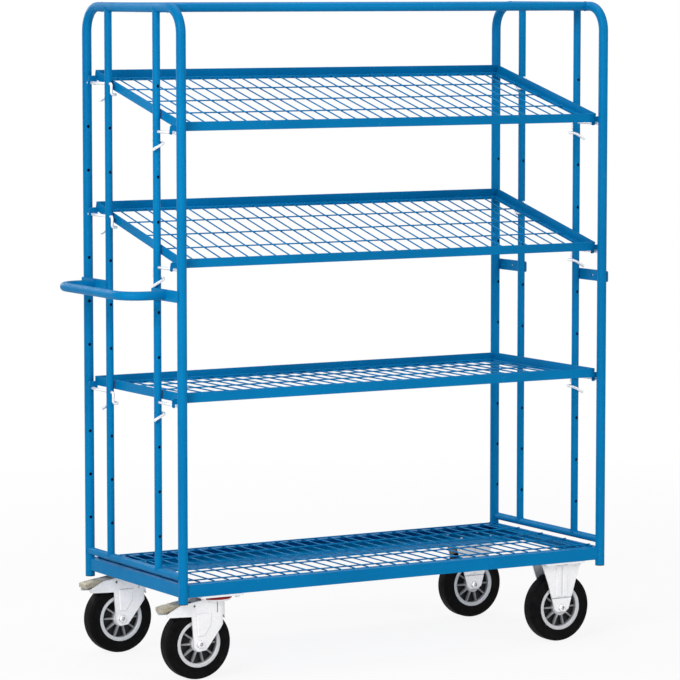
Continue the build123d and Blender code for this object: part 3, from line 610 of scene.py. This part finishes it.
# Wheels: a solid rubber tyre on a ribbed plastic rim
tyreSettings = {
    "steps": 120,
    # near half of the section: bead, lip, sunk sidewall, shoulder and crown
    "section": [
        (0.0616, -0.0189, 0.0004), (0.0668, -0.0189, 0.0004), (0.0668, -0.0225, 0.0010), (0.0722, -0.0225, 0.0010),
        (0.0738, -0.0213, 0.0008), (0.0866, -0.0213, 0.0008), (0.0880, -0.0228, 0.0008), (0.0992, -0.0228, 0.0082),
        (0.0999, -0.0100, 0.0200), (0.0999, -0.0009, 0), (0.1000, -0.0005, 0),
    ],
}
rimShape = {
    "steps": 96,
    # near half of the section: hub, web, band and flange
    "section": [
        (0.0151, -0.0254, 0.0004), (0.0216, -0.0254, 0.0010), (0.0230, -0.0240, 0.0008), (0.0238, -0.0036, 0.0020),
        (0.0543, -0.0030, 0.0024), (0.0555, -0.0196, 0.0008), (0.0574, -0.0219, 0.0008), (0.0664, -0.0219, 0.0009),
        (0.0664, -0.0191, 0.0004), (0.0614, -0.0187, 0.0004),
    ],
    "ribs": 10,
    "ribFrom": 0.0226,
    "ribTo": 0.0560,
    "ribRoot": 0.002,
    "ribDepth": (0.0190, 0.0150),
    "ribHalf": (0.0032, 0.0023),
    "ribRound": 0.0006,
}


def ribShape(s):
    # one rib on each face of the web, thinner at its crest
    bm = bmesh.new()
    root = s["ribRoot"]
    base, crest = s["ribHalf"]
    crests = []
    for side in (-1, 1):
        ends = []
        for out, depth in zip((s["ribFrom"], s["ribTo"]), s["ribDepth"]):
            section = ((root, -base), (depth, -crest), (depth, crest), (root, base))
            ends.append([bm.verts.new((out, side * y, z)) for y, z in section])
        near, far = ends
        bm.faces.new(near)
        bm.faces.new(list(reversed(far)))
        for k in range(4):
            bm.faces.new((near[k], far[k], far[(k + 1) % 4], near[(k + 1) % 4]))
        crests += [bm.edges.get((near[k], far[k])) for k in (1, 2)]
    bmesh.ops.recalc_face_normals(bm, faces=bm.faces)
    bevelled(bm, crests, s["ribRound"], False)
    return meshFrom(bm, "rib", smooth=False)


for place in casters:
    axle = jointOf[place + "_wheel_spin"]["pos_m"]
    wheel = place + "_wheel"
    tyre = turned(place + "Tyre", rounded(mirrored(tyreSettings["section"])), axle, tyreSettings["steps"])
    addPiece(place + "_tyreRubber", tyre, "tyre_rubber", wheel, place + "_tyre")
    disc = turned(place + "Disc", rounded(mirrored(rimShape["section"])), axle, rimShape["steps"])
    values = {"Count": rimShape["ribs"], "Centre": axle}
    ribs = grown("ribs", trees["rib"], ribShape(rimShape), "rim_grey", values)
    addPiece(place + "_ribbedRim", joined(place + "Rim", [disc, ribs]), "rim_grey", wheel, place + "_rim")
print("wheels dressed:", len(casters))


# Pressed and angle parts with rounded edges
softSettings = {
    # node: finish, body, edge rounding
    "front_left_fork": ("zinc_steel", "front_left_caster", 0.0010),
    "rear_left_fork": ("zinc_steel", "rear_left_caster", 0.0010),
    "front_right_fork": ("zinc_steel", "frame", 0.0010),
    "rear_right_fork": ("zinc_steel", "frame", 0.0010),
    "front_left_top_plate": ("zinc_steel", "frame", 0.0008),
    "rear_left_top_plate": ("zinc_steel", "frame", 0.0008),
    "front_left_dust_seal": ("seal_red", "front_left_caster", 0.0008),
    "rear_left_dust_seal": ("seal_red", "rear_left_caster", 0.0008),
    "front_left_brake_pedal": ("pedal_steel", "front_left_pedal", 0.0008),
    "rear_left_brake_pedal": ("pedal_steel", "rear_left_pedal", 0.0008),
    "front_left_brake_shoe": ("shoe_rubber", "front_left_pedal", 0.0008),
    "rear_left_brake_shoe": ("shoe_rubber", "rear_left_pedal", 0.0008),
    "deck_front_rail": ("blue_powder_coat", "frame", 0.0009),
    "deck_rear_rail": ("blue_powder_coat", "frame", 0.0009),
    "deck_left_rail": ("blue_powder_coat", "frame", 0.0009),
    "deck_right_rail": ("blue_powder_coat", "frame", 0.0009),
    "caster_strips": ("blue_powder_coat", "frame", 0.0009),
    "handle_lugs": ("blue_powder_coat", "frame", 0.0009),
    "top_shelf_frame": ("blue_powder_coat", "top_shelf", 0.0006),
    "middle_shelf_frame": ("blue_powder_coat", "middle_shelf", 0.0006),
    "lower_shelf_frame": ("blue_powder_coat", "lower_shelf", 0.0006),
}
for node, (slot, body, width) in softSettings.items():
    addPiece(node + "_soft", softened(node + "Soft", node, width), slot, body, node)
print("edges rounded on", len(softSettings), "nodes")


# Brake pivots: rolled spring pins, open at both ends
pivotSettings = {"outer": 0.0040, "bore": 0.0036, "half": 0.0309,
                 "boreRound": 0.0003, "endRound": 0.0006, "steps": 28}
for place in ("front_left", "rear_left"):
    s = pivotSettings
    half = [(s["bore"], -s["half"], s["boreRound"]), (s["outer"], -s["half"], s["endRound"])]
    pin = turned(place + "Pin", rounded(mirrored(half)), jointOf[place + "_brake"]["pos_m"], s["steps"])
    addPiece(place + "_springPin", pin, "zinc_steel", place + "_caster", place + "_brake_pin")
print("brake pivots turned")


# Hex fasteners: caster bolts with their nuts, and the axles
boltSettings = {
    "plate": {"Across Flats": 0.013, "Height": 0.0053, "Washer Radius": 0.0082, "Washer Height": 0.0006,
              "Rod Radius": 0.004, "Rod Length": 0.0185, "Socket Depth": 0.0006},
    "nut": {"Across Flats": 0.013, "Height": 0.0058, "Washer Radius": 0.0082, "Washer Height": 0.0007,
            "Rod Radius": 0.004, "Rod Length": 0.002, "Socket Depth": 0.0008},
    "axleHead": {"Across Flats": 0.019, "Height": 0.0068, "Washer Radius": 0.0118, "Washer Height": 0.0007,
                 "Rod Radius": 0.006, "Rod Length": 0.072, "Socket Depth": 0.0048},
    "axleNut": {"Across Flats": 0.019, "Height": 0.0085, "Washer Radius": 0.0118, "Washer Height": 0.0012,
                "Rod Radius": 0.006, "Rod Length": 0.004, "Socket Depth": 0.0010},
    "spacing": (0.0525, 0.040),
    "legFace": 0.0306,
    "sleeve": [(0.0063, -0.0255, 0), (0.0100, -0.0255, 0)],
    "sleeveSteps": 32,
}
turns = {
    "up": (0, 0, 0),
    "down": (math.pi, 0, 0),
    "front": (math.pi / 2, 0, 0),
    "back": (-math.pi / 2, 0, 0),
}


def hexSet(points, kind, turn):
    values = dict(boltSettings[kind], Turn=turns[turn])
    return grown("hex", trees["hex"], pointMesh(points), "zinc_steel", values)


frameBolts = []
plateSpots = []
dx, dy = boltSettings["spacing"]
legFace = Vector((0, boltSettings["legFace"], 0))
for place in casters:
    across = Vector(jointOf[place + "_wheel_spin"]["pos_m"])
    swivels = place + "_swivel" in jointOf
    pivot = jointOf[place + "_swivel"]["pos_m"] if swivels else across
    plateSpots += [(pivot[0] + i * dx, pivot[1] + j * dy) for i in (-1, 1) for j in (-1, 1)]
    axleParts = [
        hexSet([across - legFace], "axleHead", "front"),
        hexSet([across + legFace], "axleNut", "back"),
        turned("sleeve", rounded(mirrored(boltSettings["sleeve"])), across, boltSettings["sleeveSteps"]),
    ]
    if swivels:
        addPiece(place + "_axleBolt", joined("axle", axleParts), "zinc_steel", place + "_caster", place + "_axle")
    else:
        frameBolts += axleParts
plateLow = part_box("front_left_top_plate")[0].z
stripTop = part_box("caster_strips")[1].z
frameBolts.append(hexSet([(x, y, plateLow) for x, y in plateSpots], "plate", "down"))
addPiece("casterBolts", joined("casterBolts", frameBolts), "zinc_steel", "frame",
         "caster_fasteners", "front_right_axle", "rear_right_axle")
weldNuts = hexSet([(x, y, stripTop) for x, y in plateSpots], "nut", "up")
addPiece("casterNuts", weldNuts, "blue_powder_coat", "frame")  # coated with the strips that carry them
print("hex fasteners grown on", len(plateSpots), "plate holes")


# Weld beads where tubes, rails and lugs meet
weldSettings = {
    "tube": {"Step": 0.0024, "Bead": 0.0021, "Seed": 4},
    "shelf": {"Step": 0.0022, "Bead": 0.0015, "Seed": 9},
    "post": 0.01345,
    "upright": 0.01065,
    "rail": 0.0125,
    "railOut": 0.006,  # deck rail face past the post's middle
    "proud": 0.0006,  # seam line off the post
    "cornerLift": 0.0004,
    "railEnd": 0.001,
    "lugEnd": 0.002,
    "lugProud": 0.0001,
    "lugIn": (0.0062, 0.0056),  # lug edge inside the post and outside the upright
    "barFit": 1.02,
    "steps": 36,
}


def saddle(branch, along, radius, main, axis, onto, side, steps):
    # the closed line where a tube meets a tube that crosses it at right angles
    along, axis = Vector(along), Vector(axis)
    beside = along.cross(axis)
    line = []
    for i in range(steps):
        angle = 2 * math.pi * i / steps
        point = Vector(branch) + (beside * math.cos(angle) + axis * math.sin(angle)) * radius
        off = (point - Vector(main)).dot(beside)
        rise = side * math.sqrt(max(onto * onto - off * off, 0))
        line.append(point + along * (rise - (point - Vector(main)).dot(along)))
    return line, True


def frameSeams(s):
    leftInner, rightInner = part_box("left_uprights"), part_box("right_uprights")
    bars, deck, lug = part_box("end_bars"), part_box("deck_front_rail"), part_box("handle_lugs")
    post, upright, rail, n = s["post"], s["upright"], s["rail"], s["steps"]
    topZ = leftPost[1].z - post
    postY = leftPost[1].y - post
    barZ = (bars[0].z + bars[1].z) / 2
    innerY = leftInner[1].y - upright
    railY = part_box("top_rails")[1].y - rail
    deckEnds = (deck[0].z + s["railEnd"], deck[1].z - s["railEnd"])
    lugEnds = (lug[0].z + s["lugEnd"], lug[1].z - s["lugEnd"])
    x, y, up = Vector((1, 0, 0)), Vector((0, 1, 0)), Vector((0, 0, 1))
    runs = []
    for out, hoop, inner in ((-1, leftPost, leftInner), (1, rightPost, rightInner)):
        postX = (hoop[0].x + hoop[1].x) / 2
        innerX = (inner[0].x + inner[1].x) / 2
        topBar, lowBar = (postX, 0, topZ), (innerX, 0, barZ)
        for side in (-1, 1):
            foot = (innerX, side * innerY, 1)
            runs.append(saddle(foot, up, upright, topBar, y, post, -1, n))
            runs.append(saddle(foot, up, upright, lowBar, y, upright * s["barFit"], 1, n))
            runs.append(saddle(lowBar, y, upright, (postX, side * postY, 0), up, post, -side, n))
            runs.append(saddle((0, side * railY, topZ), x, rail, topBar, y, post, -out, n))
            # deck corner: two upright seams on the outer faces and one round the post on top
            reach = math.sqrt(post ** 2 - s["railOut"] ** 2) + s["proud"]
            for seamX, seamY in ((postX - out * reach, side * (postY + s["railOut"])),
                                 (postX + out * s["railOut"], side * (postY - reach))):
                runs.append(([(seamX, seamY, z) for z in deckEnds], False))
            ring = post + s["proud"]
            middle = math.atan2(-side, -out)
            half = math.acos((reach - s["railOut"]) / math.hypot(reach, s["railOut"]) / math.sqrt(2))
            arc = [middle + half * (2 * k / n - 1) for k in range(n + 1)]
            ringZ = deck[1].z + s["cornerLift"]
            runs.append(([(postX + ring * math.cos(a), side * postY + ring * math.sin(a), ringZ)
                          for a in arc], False))
            # lug edges on the outer post and the inner upright
            faceX = postX + out * (post + s["lugProud"])
            for seamY in (postY - s["lugIn"][0], innerY + s["lugIn"][1]):
                runs.append(([(faceX, side * seamY, z) for z in lugEnds], False))
    return runs


seamLines = lineMesh(frameSeams(weldSettings))
seams = grown("seams", trees["bead"], seamLines, "blue_powder_coat", weldSettings["tube"])
addPiece("frameWelds", seams, "blue_powder_coat", "frame")
print("frame welds laid:", len(seams.polygons), "faces")


# Welded mesh: a nugget at each crossing and at each wire end on its flange
meshSettings = {
    "wire": 0.004,
    "gap": 0.044,
    "rows": 5,
    "endDrop": 0.0030,
    "deck": {"pitch": 0.125775, "ends": 0.2660, "lift": 0.0041},
    "shelf": {"pitch": 0.12175, "ends": 0.2590, "lift": 0.0096, "middle": -0.2565, "endRoom": 0.020,
              "hookHalf": 0.0022, "hookProud": 0.0004, "hookTop": 0.0155, "trayLow": 0.0035, "trayTop": 0.0285,
              "wall": 0.0025, "back": 0.0145, "cornerUp": 0.004, "cornerIn": 0.0005},
    "nugget": {"Radius": 0.0030, "Height": 0.75, "Seed": 2},
}


def meshReach(node):
    low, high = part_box(node)
    return high.x - low.x - 2 * meshSettings["wire"]


def nuggetSpots(reach, s):
    # places in the mesh's own plane: along, across, up
    gaps = round(reach / meshSettings["gap"])
    wires = [reach * (i / gaps - 0.5) for i in range(gaps + 1)]
    rows = [(i - (meshSettings["rows"] - 1) / 2) * s["pitch"] for i in range(meshSettings["rows"])]
    spots = [(along, across, s["lift"]) for along in wires for across in rows]
    endLift = s["lift"] - meshSettings["endDrop"]
    return spots + [(along, end * s["ends"], endLift) for along in wires for end in (-1, 1)]


deckPlane = Matrix.Translation((middleX, 0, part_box("deck_front_rail")[1].z))
spots = [deckPlane @ Vector(p) for p in nuggetSpots(meshReach("deck_mesh"), meshSettings["deck"])]
values = dict(meshSettings["nugget"], Turn=(0, 0, 0))
addPiece("deckMeshWelds", grown("nuggets", trees["nugget"], pointMesh(spots), "blue_powder_coat", values),
         "blue_powder_coat", "frame")


def shelfSeams(half, s):
    # hook edges and the inner corners of the tray, in the shelf's own axes
    runs = []
    room = s["wall"] + s["cornerIn"]
    for end in (-1, 1):
        hookX, cornerX = end * (half + s["hookProud"]), end * (half - room)
        for side in (1, -1):
            row = s["middle"] * (1 - side)
            for y in (row - s["hookHalf"], row + s["hookHalf"]):
                runs.append([(hookX, y, z) for z in (s["trayLow"], s["hookTop"])])
            y = s["middle"] + side * (s["back"] - s["middle"] - room)
            runs.append([(cornerX, y, z) for z in (s["trayLow"] + s["cornerUp"], s["trayTop"])])
    return runs


for name in ("top", "middle", "lower"):
    s = meshSettings["shelf"]
    pivot = Vector(jointOf[name + "_shelf_tilt"]["pos_m"])
    reach = meshReach(name + "_shelf_mesh")
    tilt = 0.0 if name == "lower" else math.radians(jointOf[name + "_shelf_tilt"]["range_deg"][1])
    plane = Matrix.Translation(pivot) @ Matrix.Rotation(tilt, 4, "X")
    inPlane = plane @ Matrix.Translation((0, s["middle"], 0))
    values = dict(meshSettings["nugget"], Turn=(tilt, 0, 0))
    spots = pointMesh([inPlane @ Vector(p) for p in nuggetSpots(reach, s)])
    runs = [([plane @ Vector(p) for p in run], False) for run in shelfSeams(reach / 2 + s["endRoom"], s)]
    parts = [grown("nuggets", trees["nugget"], spots, "blue_powder_coat", values),
             grown("seams", trees["bead"], lineMesh(runs), "blue_powder_coat", weldSettings["shelf"])]
    addPiece(name + "_shelfWelds", joined(name + "Welds", parts), "blue_powder_coat", name + "_shelf")
print("mesh and shelf welds laid")
